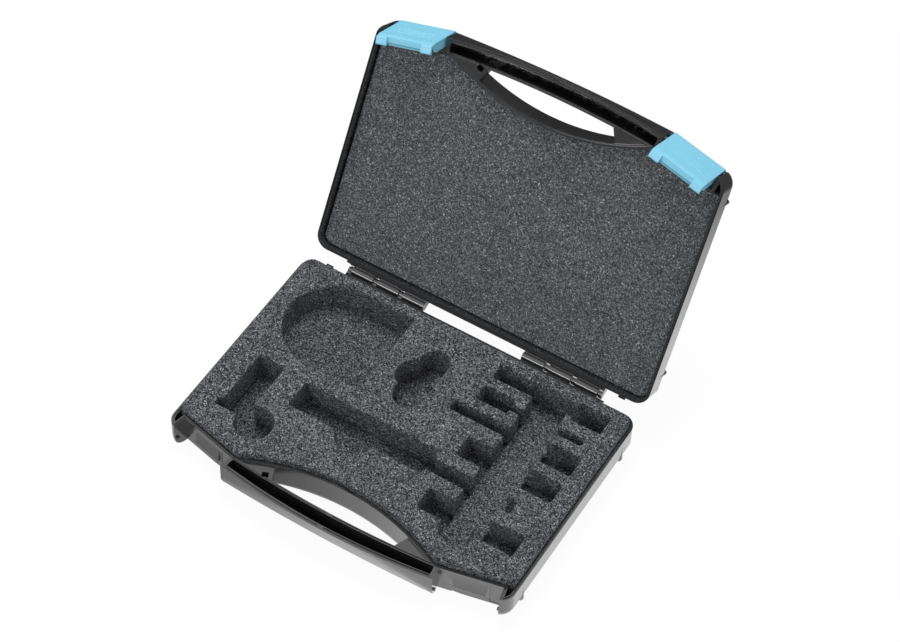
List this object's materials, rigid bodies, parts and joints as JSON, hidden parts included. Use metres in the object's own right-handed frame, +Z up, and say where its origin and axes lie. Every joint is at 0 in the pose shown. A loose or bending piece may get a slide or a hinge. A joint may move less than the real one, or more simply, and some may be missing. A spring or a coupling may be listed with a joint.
{
  "type": "tool case",
  "caption": "Open hard plastic tool case: tray and hinged lid with a shared front handle, swinging snap latches and layered foam cut with pockets.",
  "frame": {"origin": "centre of the tray's flat underside, where it rests on a table", "axes": "+X to the right as seen from the handle side, +Y from the handle to the hinges, +Z up; the lid stands open"},
  "size_m": [0.2608, 0.2967, 0.1903],
  "materials": {
    "shell_plastic": "satin gloss",
    "latch_plastic": "satin",
    "pin_steel": "drawn",
    "foam": "open cell foam"
  },
  "bodies": {
    "base": {"base_shell": "shell_plastic", "right_hinge_pin": "pin_steel", "foam_top_sheet": "foam", "foam_middle_sheet": "foam", "foam_bottom_sheet": "foam"},
    "lid": {"lid_shell": "shell_plastic", "left_hinge_pin": "pin_steel", "lid_foam": "foam"},
    "left_latch": {"left_latch": "latch_plastic"},
    "right_latch": {"right_latch": "latch_plastic"}
  },
  "joints": [
    {"name": "lid_hinge", "type": "hinge", "parent": "base", "child": "lid", "pos_m": [0, 0.09, 0.024], "axis": [1, 0, 0], "range_deg": [0, 118.9]},
    {"name": "left_latch_pivot", "type": "hinge", "parent": "lid", "child": "left_latch", "pos_m": [-0.1015, 0.18816, 0.17077], "axis": [-0.9755, -0.1062, -0.1925], "range_deg": [0, 95]},
    {"name": "right_latch_pivot", "type": "hinge", "parent": "lid", "child": "right_latch", "pos_m": [0.1015, 0.18816, 0.17077], "axis": [-0.9755, 0.1062, 0.1925], "range_deg": [0, 95]}
  ]
}
